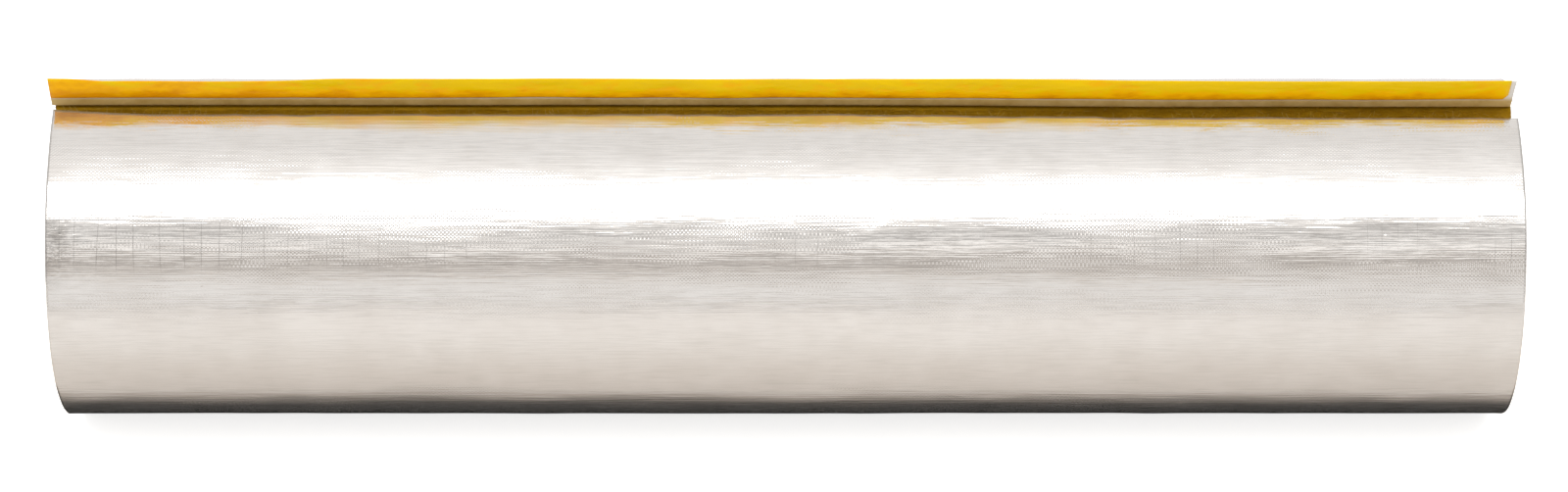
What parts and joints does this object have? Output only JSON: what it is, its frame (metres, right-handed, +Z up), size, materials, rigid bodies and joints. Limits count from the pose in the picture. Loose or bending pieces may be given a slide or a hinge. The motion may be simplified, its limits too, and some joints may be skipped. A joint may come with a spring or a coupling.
{
  "type": "mineral wool pipe insulation",
  "caption": "Foil-faced mineral wool pipe insulation section with a round bore, a slit along its length and a standing self-adhesive overlap flap under a release liner.",
  "frame": {"origin": "centre of the bore, at the middle of the length", "axes": "+X along the bore, +Z up through the slit, -Y towards the near lip, over which the flap closes"},
  "size_m": [1.2, 0.2806, 0.3107],
  "materials": {
    "wool": "yellow-olive bonded glass wool, matt and fibrous",
    "foil": "reinforced aluminium foil laminate, finely lined and creased",
    "liner": "glossy yellow siliconised release strip"
  },
  "bodies": {
    "root": {"wool_shell": "wool", "foil_facing": "foil", "release_liner": "liner"}
  },
  "joints": []
}
